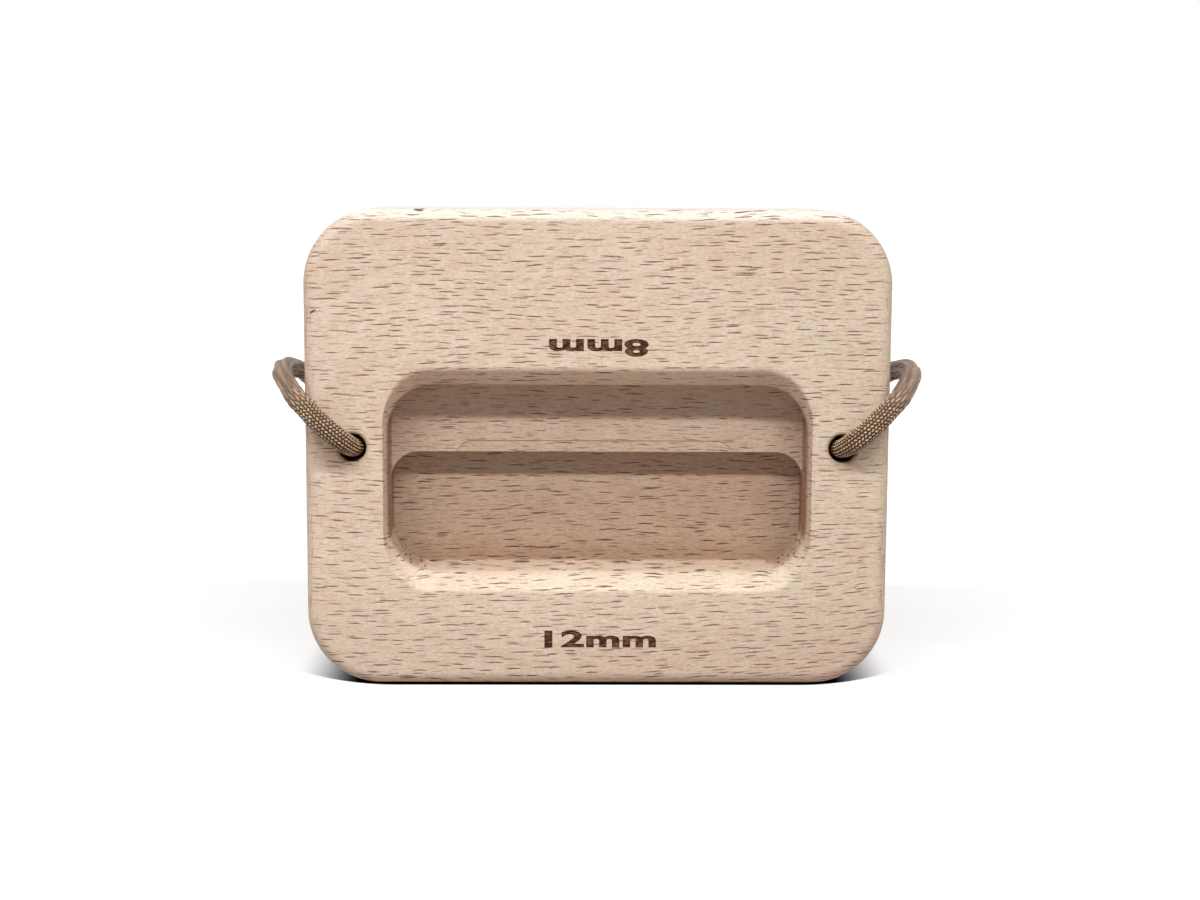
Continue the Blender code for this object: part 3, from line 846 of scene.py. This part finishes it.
def mark_cutter(words, settings, width, height, upside_down, burnt):
    """The words as a thin solid that sinks into the board's front."""
    deselect_all()
    bpy.ops.object.text_add()
    mark = bpy.context.object
    mark.data.body = words
    mark.data.align_x = "CENTER"
    mark.data.align_y = "CENTER"
    mark.data.size = settings.digit_height / DIGIT_SHARE
    mark.data.offset = MARK_WEIGHT * settings.digit_height
    mark.data.extrude = settings.burn_depth
    mark.data.space_character = MARK_SPACING
    mark.data.resolution_u = MARK_CURVE_STEPS
    bpy.ops.object.convert(target="MESH")
    mark = bpy.context.object
    mark.scale.x = width / mark.dimensions.x
    mark.rotation_euler = (math.pi / 2, math.pi if upside_down else 0.0, 0.0)
    mark.location = (0.0, FRONT, height)
    bpy.ops.object.transform_apply(location=True, rotation=True, scale=True)
    edit(mark)
    bpy.ops.mesh.select_all(action="SELECT")
    bpy.ops.mesh.remove_doubles(threshold=NEARLY_EQUAL)
    bpy.ops.mesh.normals_make_consistent(inside=False)
    leave_edit()
    mark.data.materials.clear()
    mark.data.materials.append(burnt)
    return mark


def dress(piece, name, replaced):
    """Names a finished piece and puts it on the part's only body, in place of what it stands for."""
    piece.name = name
    piece.data.name = name
    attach(piece, "root")
    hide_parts(*replaced)


def smooth_curve(points, per_span):
    """Points on a smooth curve through the given ones, per_span of them for each stretch between two."""
    points = np.array([tuple(point) for point in points])
    ends = np.vstack([2 * points[0] - points[1], points, 2 * points[-1] - points[-2]])
    share = np.linspace(0, 1, per_span, endpoint=False)[:, None]
    read = []
    for a, b, c, d in zip(ends, ends[1:], ends[2:], ends[3:]):
        second, third = 2 * a - 5 * b + 4 * c - d, 3 * b - a - 3 * c + d
        read.append((2 * b + (c - a) * share + second * share**2 + third * share**3) / 2)
    return np.vstack(read + [points[-1:]])


def lengths_along(line):
    return np.concatenate([[0.0], np.cumsum(np.linalg.norm(np.diff(line, axis=0), axis=1))])


def spaced(line, spacing):
    """The same line with evenly spaced points."""
    along = lengths_along(line)
    count = max(2, round(along[-1] / spacing))
    wanted = np.linspace(0.0, along[-1], count + 1)
    return np.stack([np.interp(wanted, along, line[:, axis]) for axis in range(3)], axis=1)


def frames_along(line):
    """Two directions across the line at each of its points, carried along it without twisting."""
    heading = np.gradient(line, axis=0)
    heading /= np.linalg.norm(heading, axis=1)[:, None]
    first = np.cross(heading[0], (0.0, 0.0, 1.0))
    first /= np.linalg.norm(first)
    carried = []
    for direction in heading:
        first = first - direction * (first @ direction)
        first /= np.linalg.norm(first)
        carried.append(first)
    first = np.array(carried)
    return first, np.cross(heading, first)


def tube_mesh(name, points, picks, settings):
    """A closed mesh through rings of points, with the UV map that the braid reads."""
    rings, sides, _ = points.shape
    ring, side = np.meshgrid(np.arange(rings - 1), np.arange(sides), indexing="ij")
    ring = np.stack([ring, ring, ring + 1, ring + 1], axis=-1).reshape(-1, 4)
    side = np.stack([side, side + 1, side + 1, side], axis=-1).reshape(-1, 4)
    quads = ring * sides + side % sides
    caps = [list(range(sides))[::-1], list(range((rings - 1) * sides, rings * sides))]
    mesh = bpy.data.meshes.new(name)
    mesh.from_pydata(points.reshape(-1, 3).tolist(), [], quads.tolist() + caps)
    uv = np.zeros((len(mesh.loops), 2), np.float32)
    uv[: side.size, 0] = side.ravel() / sides
    uv[: side.size, 1] = picks[ring.ravel()]
    uv[side.size :, 0] = 0.5 / settings.columns
    mesh.uv_layers.new(name="braid").data.foreach_set("uv", uv.ravel())
    return mesh


# Where the cord is stretched round the board's edge, its strands lie lengthways and it folds.
STRETCHED_PICK = 5.5
STRETCHED_RELIEF_LOSS = 0.85
FOLDS = 6
FOLD_TWIST = 0.030
FOLD_DEPTH = 0.00032
END_ROUNDING = 0.9
END_NARROWEST = 0.03


def braided_tube(
    name, line, radius, fineness, settings, surface, relief=1.0, stretch=None, rounded_end=False
):
    """A closed tube along a line, with the braid's relief in its mesh. Where it is stretched, it folds."""
    sides, spacing = fineness
    line = spaced(line, spacing)
    along = lengths_along(line)
    stretched = stretch(along) if stretch else np.zeros(len(line))
    pick = settings.pick_length * (1 + (STRETCHED_PICK - 1) * stretched)
    picks = np.concatenate([[0.0], np.cumsum(np.diff(along) / pick[1:])])
    radii = radius(along) if callable(radius) else np.full(len(line), radius)
    if rounded_end:
        left = np.clip((along[-1] - along) / (END_ROUNDING * radii[-1]), 0, 1)
        radii = radii * np.sqrt(np.clip(1 - (1 - left) ** 2, END_NARROWEST, 1))
    around = np.arange(sides) / sides
    off_the_seam = 1e-6
    height = strand_height(around + off_the_seam, picks[:, None], settings.columns, np.floor, lambda n: n % 1)
    height = np.sqrt(np.maximum(height, 0))
    fold = 0.5 + 0.5 * np.cos(2 * math.pi * (FOLDS * around + along[:, None] / FOLD_TWIST))
    folded = fold * stretched[:, None]
    sunk = relief * settings.relief * (1 - height) * (1 - STRETCHED_RELIEF_LOSS * stretched[:, None])
    reach = radii[:, None] - sunk - FOLD_DEPTH * folded
    first, second = frames_along(line)
    turn = 2 * math.pi * around[:, None]
    across = first[:, None, :] * np.cos(turn) + second[:, None, :] * np.sin(turn)
    mesh = tube_mesh(name, line[:, None, :] + across * reach[:, :, None], picks, settings)
    for name_read, values in (("stretched", np.repeat(stretched, sides)), ("folded", folded.ravel())):
        attribute = mesh.attributes.new(name_read, "FLOAT", "POINT")
        attribute.data.foreach_set("value", values.astype(np.float32))
    mesh.shade_smooth()
    mesh.materials.append(surface)
    piece = bpy.data.objects.new(name, mesh)
    bpy.context.scene.collection.objects.link(piece)
    return piece, line


COIL_CENTRE_Y = BACK + COIL_BEHIND_BACK
COIL_STEPS_PER_TURN = 96


def coil_pitch(settings):
    return settings.diameter + COIL_GAP


def coil_radius(turn, settings):
    softening = 0.1
    from_middle = np.hypot(turn - COIL_TURNS / 2, softening) - softening
    return COIL_INNER_RADIUS + coil_pitch(settings) * from_middle


def coil_lift(y, settings):
    """The coil leans: its front lies on the surface, and its back on the strap that passes below it."""
    front = COIL_CENTRE_Y - coil_radius(0.0, settings)
    at_strap = COIL_CENTRE_Y + COIL_INNER_RADIUS
    lift_at_strap = TIE_THICKNESS + SEAT_GAP + SURFACE_GAP
    return settings.diameter / 2 + SURFACE_GAP + lift_at_strap * (y - front) / (at_strap - front)


def coil_points(turn, settings):
    angle = math.pi - 2 * math.pi * turn
    radius = coil_radius(turn, settings)
    y = COIL_CENTRE_Y + radius * np.sin(angle)
    climb = np.clip((turn - (COIL_TURNS - 1) / 2 - 0.25) / 0.5, 0, 1)
    layer = climb * climb * (3 - 2 * climb)
    z = coil_lift(y, settings) + coil_pitch(settings) * layer
    return np.stack([radius * np.cos(angle), y, z], axis=-1)


def coil_lead(turn, settings):
    """The straight end of the coil, one diameter long, towards the board."""
    joined = coil_points(np.array([turn]), settings)[0]
    end = joined - (0.0, settings.diameter, 0.0)
    end[2] = coil_lift(end[1], settings) + joined[2] - coil_lift(joined[1], settings)
    return end


def coil_line(settings):
    turns = np.linspace(0.0, COIL_TURNS, round(COIL_STEPS_PER_TURN * COIL_TURNS) + 1)
    leads = [coil_lead(turn, settings) for turn in (0.0, COIL_TURNS)]
    return np.vstack([leads[0], coil_points(turns, settings), leads[1]])


def hole_mouth(side, board):
    return Vector((side * board.hole_spacing / 2, FRONT, board.hole_height))


def cord_line(side_name, board, cord):
    """The free stretch on one side, from inside its hole to the coil."""
    side = SIDES[side_name]
    side_at_front = Vector((side * BOARD_SIZE.x / 2, FRONT, board.hole_height))
    side_at_back = Vector((side * BOARD_SIZE.x / 2, BACK, board.hole_height))
    joined = Vector(coil_lead(0.0 if side_name == "left" else COIL_TURNS, cord))
    stretches = (
        (hole_mouth(side, board), ROUTE_OUT_OF_HOLE),
        (side_at_front, ROUTE_ROUND_SIDE),
        (side_at_back, ROUTE_DOWN_BACK),
        (joined, ROUTE_TO_COIL[side_name]),
    )
    points = [
        start + Vector((side * outwards, backwards, upwards))
        for start, stretch in stretches
        for outwards, backwards, upwards in stretch
    ]
    return smooth_curve(points, per_span=24)


def stretch_radius(along):
    """Plump where it leaves the hole, and drawn a little thinner round the board's edge."""
    places, radii_mm = (0, 5, 9, 22, 34, 48, 62), (1.82, 1.85, 2.08, 2.03, 1.95, 1.93, 2.0)
    return MM * np.interp(along / MM, places, radii_mm)


def stretched_at_edge(along):
    return np.interp(along / MM, (0, 17, 24, 46, 56), (0.0, 0.0, 1.0, 1.0, 0.0))


KNOT_PITCH = KNOT_STRAND + KNOT_GAP
KNOT_STEPS_PER_TURN = 12


def around_strands(turn):
    """A place on the loop round the knot's two inner strands, as (down, sideways) from the first."""
    reach = KNOT_PITCH + KNOT_LOOP_SLACK
    half_circle = math.pi * reach
    half = half_circle + KNOT_PITCH
    halves, along = divmod(2 * half * (turn % 1.0) + half_circle / 2, half)
    if along < half_circle:
        down, sideways = -reach * math.sin(along / reach), -reach * math.cos(along / reach)
    else:
        down, sideways = along - half_circle, reach
    return (KNOT_PITCH - down, -sideways) if halves == 1 else (down, sideways)


def knot_line(side, board):
    """The knotted end, from inside the hole to the tip of its tail."""
    beside = KNOT_PITCH
    nearest = KNOT_STRAND / 2 + SEAT_GAP
    last_turn = nearest + KNOT_LAST_TURN_GAP
    furthest = last_turn + KNOT_TURNS * KNOT_PITCH
    inside_hole = ROUTE_OUT_OF_HOLE[0][1] - BOARD_SIZE.y
    outwards, _, upwards = ROUTE_OUT_OF_HOLE[0]
    route = [(inside_hole, -upwards, outwards), (inside_hole / 2, 0.0, 0.0), (0.0, 0.0, 0.0)]
    route += [(furthest * share, 0.0, 0.0) for share in (0.35, 0.7, 0.95)]
    route += [(furthest + back, down, sideways) for back, down, sideways in KNOT_TURN_BACK]
    for step in range(round(KNOT_TURNS * KNOT_STEPS_PER_TURN) + 1):
        turn = step / KNOT_STEPS_PER_TURN
        route.append((furthest - turn * KNOT_PITCH, *around_strands(turn)))
    route += [(nearest + back, beside + down, sideways) for back, down, sideways in KNOT_TUCK]
    route += [
        (furthest * 0.8, beside, 0.0),
        (furthest + 0.25 * KNOT_TAIL, beside, 0.0),
        (furthest + 0.55 * KNOT_TAIL, beside + 0.0010, 0.0003),
        (furthest + 0.80 * KNOT_TAIL, beside + 0.0028, 0.0006),
        (furthest + KNOT_TAIL, beside + 0.0056, 0.0010),
    ]
    at_back = Vector((side * board.hole_spacing / 2, BACK, board.hole_height))
    points = [at_back + Vector((side * sideways, back, -down)) for back, down, sideways in route]
    return smooth_curve(points, per_span=12)


# The white that the floor shows near the board and further away, and where it rises, in metres.
NEAR_GLOW = 0.70
FAR_GLOW = 1.0
GLOW_RISES = (0.10, 0.45)

# Where the painted contact shadow round the board's foot ends and the floor's white begins, in millimetres.
SHADOW_CLEAR_INSET = 2.5
SHADOW_CLEAR_BESIDE = (7.0, 20.5)
SHADOW_CLEAR_IN_FRONT = (-0.3, 0.4)
SHADOW_CLEAR_BEHIND = (0.0, 15.0)
SHADOW_CLEAR_CURVE = 0.03

LOOKED_AT = Vector((0.0, FRONT, 0.05))
MAIN_LIGHT_PLACE = Vector((-0.06, -1.25, 1.632))
CAMERA_PLACE = Vector((-0.00503, -0.3852, 0.0964))
CAMERA_PITCH = 0.1365
CAMERA_YAW = 0.0146
CAMERA_ROLL = 0.0048
FOCAL_PIXELS = 2005.2
IMAGE_WIDTH = 1200


class HANGBOARD_OT_stage(bpy.types.Operator):
    """Adds the floor, the lights and the camera"""

    bl_idname = "hangboard.stage"
    bl_label = "Stage"

    def execute(self, context):
        settings = context.scene.hangboard_stage
        context.scene.view_settings.view_transform = "Standard"
        self.add_floor(context, settings)
        self.add_sky(context, settings)
        self.add_light(context, settings)
        self.add_camera(context)
        return {"FINISHED"}

    def seen(self, light_path):
        """1 for what the camera or a glossy surface sees, and 0 for the light that falls on things."""
        return light_path.nodes.larger(light_path["Is Camera Ray"], light_path["Is Glossy Ray"])

    def add_floor(self, context, settings):
        deselect_all()
        bpy.ops.mesh.primitive_plane_add(size=6.0)
        floor = bpy.context.object
        floor.name = "floor"
        paint = Paint("white_floor", roughness=0.9, specular=0.0)
        light_path = paint.node("ShaderNodeLightPath")
        # Painted contact shadow: near the board's foot, the floor that the camera sees turns dark, with a
        # faint lilac tint.
        clear = self.clear_of_painted_shadow(context, paint)
        seen_base = paint.mix(clear, BLACK, settings.floor)
        x, y, _ = paint.split(paint.node("ShaderNodeTexCoord")["Object"])
        far = paint.step(paint.length_of(x, y), *GLOW_RISES)
        glow = self.seen(light_path) * clear * (NEAR_GLOW + (FAR_GLOW - NEAR_GLOW) * far)
        green = glow * (0.95 + 0.05 * clear)
        shade = paint.node("ShaderNodeCombineColor", None, {0: glow, 1: green, 2: glow})[0]
        base = paint.mix(light_path["Is Camera Ray"], settings.bounce, seen_base)
        paint.set(Base_Color=base, Emission_Color=shade)
        paint.shader.inputs["Emission Strength"].default_value = 1.0
        floor.data.materials.append(paint.material)

    def clear_of_painted_shadow(self, context, paint):
        """Painted contact shadow: 0 on the floor where the board stands and under its rounded corners, and 1
        away from it.
        """
        x, y, _ = paint.split(paint.place_mm())
        flat = (BOARD_SIZE.x / 2 - context.scene.hangboard_board.corner_radius) / MM - SHADOW_CLEAR_INSET
        past_flat = paint.larger(paint.absolute(x) - flat, 0.0)
        beside = paint.step(past_flat, *SHADOW_CLEAR_BESIDE)
        in_front = paint.step(FRONT_MM + SHADOW_CLEAR_CURVE * past_flat * past_flat - y, *SHADOW_CLEAR_IN_FRONT)
        behind = paint.step(y - BACK_MM, *SHADOW_CLEAR_BEHIND)
        return paint.larger(paint.larger(beside, in_front), behind)

    def add_sky(self, context, settings):
        world = bpy.data.worlds.new("white_room")
        world.use_nodes = True
        context.scene.world = world
        sky = Nodes(world.node_tree)
        seen = self.seen(sky.node("ShaderNodeLightPath"))
        background = world.node_tree.nodes["Background"]
        sky.feed(background.inputs["Strength"], settings.sky_strength + (1.0 - settings.sky_strength) * seen)
        sky.feed(background.inputs["Color"], sky.mix(seen, settings.sky, WHITE))

    def add_light(self, context, settings):
        light = bpy.data.lights.new("main_light", "AREA")
        light.shape = "RECTANGLE"
        light.energy = settings.main_power
        light.size, light.size_y = settings.main_width, settings.main_height
        lamp = bpy.data.objects.new("main_light", light)
        lamp.location = MAIN_LIGHT_PLACE
        lamp.rotation_euler = (LOOKED_AT - MAIN_LIGHT_PLACE).to_track_quat("-Z", "Y").to_euler()
        context.scene.collection.objects.link(lamp)

    def add_camera(self, context):
        camera = bpy.data.objects.new("camera", bpy.data.cameras.new("camera"))
        camera.data.sensor_width = 36.0
        camera.data.lens = camera.data.sensor_width * FOCAL_PIXELS / IMAGE_WIDTH
        camera.data.clip_start = 0.01
        level = math.cos(CAMERA_PITCH)
        ahead = Vector((math.sin(CAMERA_YAW) * level, math.cos(CAMERA_YAW) * level, -math.sin(CAMERA_PITCH)))
        right = Vector((math.cos(CAMERA_YAW), -math.sin(CAMERA_YAW), 0.0))
        up = right.cross(ahead)
        across = math.cos(CAMERA_ROLL) * right + math.sin(CAMERA_ROLL) * up
        upright = -math.sin(CAMERA_ROLL) * right + math.cos(CAMERA_ROLL) * up
        turned = Matrix((across, upright, -ahead)).transposed().to_4x4()
        camera.matrix_world = Matrix.Translation(CAMERA_PLACE) @ turned
        context.scene.collection.objects.link(camera)
        context.scene.camera = camera


# How finely each stretch is made: the sides round it, and the distance between two rings.
FREE_FINENESS = (100, 0.00014)
COIL_FINENESS = (32, 0.00045)
KNOT_FINENESS = (40, 0.00032)

# The share of the braid's relief that is in the mesh and the share that the material adds.
COIL_RELIEF = 0.35
KNOT_RELIEF = 0.6
FREE_BUMP = 0.5
COIL_BUMP = 1.0
KNOT_BUMP = 0.8

STRAP_RADIUS = 0.0017
STRAP_INNER_RADIUS = 0.0009
STRAP_EDGE = 0.00018


class HANGBOARD_OT_cord(bpy.types.Operator):
    """Adds the two free stretches of the cord, and the coil of its middle with the strap round it"""

    bl_idname = "hangboard.cord"
    bl_label = "Cord"

    def execute(self, context):
        board, cord = context.scene.hangboard_board, context.scene.hangboard_cord
        near = nylon("tan_nylon_braid", cord, FREE_BUMP)
        far = nylon("tan_nylon_braid_of_coil", cord, COIL_BUMP)
        for side_name, side in SIDES.items():
            line = cord_line(side_name, board, cord)
            name = "cord_" + side_name + "_braid"
            piece, path = braided_tube(
                name, line, stretch_radius, FREE_FINENESS, cord, near, stretch=stretched_at_edge
            )
            dress(piece, name, ["cord_" + side_name])
        line = coil_line(cord)
        piece, path = braided_tube(
            "cord_coil_braid", line, cord.diameter / 2, COIL_FINENESS, cord, far, relief=COIL_RELIEF
        )
        dress(piece, "cord_coil_braid", ["cord_coil"])
        strap = self.add_strap(cord)
        return {"FINISHED"}

    def add_strap(self, cord):
        low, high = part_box("coil_tie")
        strap = box_between("coil_strap", low, high)
        inset = Vector((-MM, TIE_THICKNESS, TIE_THICKNESS))
        inside = box_between("strap_inside", low + inset, high - inset)
        for piece, radius in ((strap, STRAP_RADIUS), (inside, STRAP_INNER_RADIUS)):
            edit(piece)
            choose(piece, "EDGE", self.runs_along_x)
            bpy.ops.mesh.bevel(offset=radius, segments=8, affect="EDGES")
            leave_edit()
        cut(strap, inside)
        apply_modifier(strap, "BEVEL", width=STRAP_EDGE, segments=3, limit_method="ANGLE")
        strap.data.shade_smooth()
        strap.data.set_sharp_from_angle(angle=math.radians(40))
        strap.data.materials.clear()
        strap.data.materials.append(webbing(cord))
        dress(strap, "coil_strap", ["coil_tie"])
        return strap

    def runs_along_x(self, edge):
        return abs((edge.verts[0].co - edge.verts[1].co).normalized().x) > 0.9


class HANGBOARD_OT_knots(bpy.types.Operator):
    """Adds the stopper knots behind the two holes"""

    bl_idname = "hangboard.knots"
    bl_label = "Stopper knots"

    def execute(self, context):
        board, cord = context.scene.hangboard_board, context.scene.hangboard_cord
        surface = nylon("tan_nylon_braid_of_knots", cord, KNOT_BUMP)
        for side_name, side in SIDES.items():
            line = knot_line(side, board)
            name = side_name + "_knot_braid"
            piece, _ = braided_tube(
                name, line, self.radius_at, KNOT_FINENESS, cord, surface, KNOT_RELIEF, rounded_end=True
            )
            dress(piece, name, [side_name + "_stopper_knot"])
        return {"FINISHED"}

    def radius_at(self, along):
        """Full size in the hole, and drawn thinner where the knot squeezes it."""
        return np.interp(along / MM, (0.0, 17.0, 21.0), (2.0 * MM, 2.0 * MM, KNOT_STRAND / 2))


class HANGBOARD_OT_board(bpy.types.Operator):
    """Adds the beech block with its pocket, its holes and its burnt ledge marks"""

    bl_idname = "hangboard.board"
    bl_label = "Board"

    def execute(self, context):
        settings, marks = context.scene.hangboard_board, context.scene.hangboard_marks
        board = box_between("beech_board", BOARD_LOW, BOARD_HIGH)
        board.data.materials.append(beech(settings))
        round_corners(board, settings.corner_radius, CORNER_SEGMENTS)
        edit(board)
        choose(board, "EDGE", self.is_rim)
        bpy.ops.mesh.bevel(offset=settings.edge_radius, segments=EDGE_SEGMENTS, profile=0.5, affect="EDGES")
        leave_edit()
        cut(board, pocket_cutter(settings))
        cut(board, deep_cutter(settings))
        for side in SIDES.values():
            cut(board, hole_cutter(settings, side))
        burnt = burnt_wood(marks)
        for words, width, height, upside_down in (
            (marks.deep_mark, marks.deep_mark_width, marks.deep_mark_height, False),
            (marks.shallow_mark, marks.shallow_mark_width, marks.shallow_mark_height, True),
        ):
            cut(board, mark_cutter(words, marks, width, height, upside_down, burnt))
        board.data.shade_smooth()
        board.data.set_sharp_from_angle(angle=math.radians(35))
        apply_modifier(board, "WEIGHTED_NORMAL", keep_sharp=True, weight=80)
        dress(board, "beech_board", ["board"])
        return {"FINISHED"}

    def is_rim(self, edge):
        """Whether an edge lies round the front or the back of the block."""
        return abs(edge.verts[0].co.y - edge.verts[1].co.y) < NEARLY_LEVEL


class HANGBOARD_PT_panel(bpy.types.Panel):
    """Lists the steps that build the hangboard"""

    bl_idname = "HANGBOARD_PT_panel"
    bl_label = "Hangboard"
    bl_space_type = "VIEW_3D"
    bl_region_type = "UI"
    bl_category = "Hangboard"

    def draw(self, context):
        for step in STEPS:
            self.layout.operator(step.bl_idname)
        for name, group in SETTINGS.items():
            column = self.layout.column()
            for item in group.__annotations__:
                column.prop(getattr(context.scene, name), item)


SETTINGS = {
    "hangboard_board": BoardSettings,
    "hangboard_marks": MarkSettings,
    "hangboard_cord": CordSettings,
    "hangboard_stage": StageSettings,
}
STEPS = (HANGBOARD_OT_stage, HANGBOARD_OT_cord, HANGBOARD_OT_knots, HANGBOARD_OT_board)


def register():
    for item in (*SETTINGS.values(), *STEPS, HANGBOARD_PT_panel):
        bpy.utils.register_class(item)
    for name, group in SETTINGS.items():
        setattr(bpy.types.Scene, name, bpy.props.PointerProperty(type=group))


def unregister():
    for name in SETTINGS:
        delattr(bpy.types.Scene, name)
    for item in reversed((*SETTINGS.values(), *STEPS, HANGBOARD_PT_panel)):
        bpy.utils.unregister_class(item)


def main():
    register()
    bpy.ops.hangboard.stage()
    bpy.ops.hangboard.cord()
    bpy.ops.hangboard.knots()
    bpy.ops.hangboard.board()


if __name__ == "__main__":
    main()
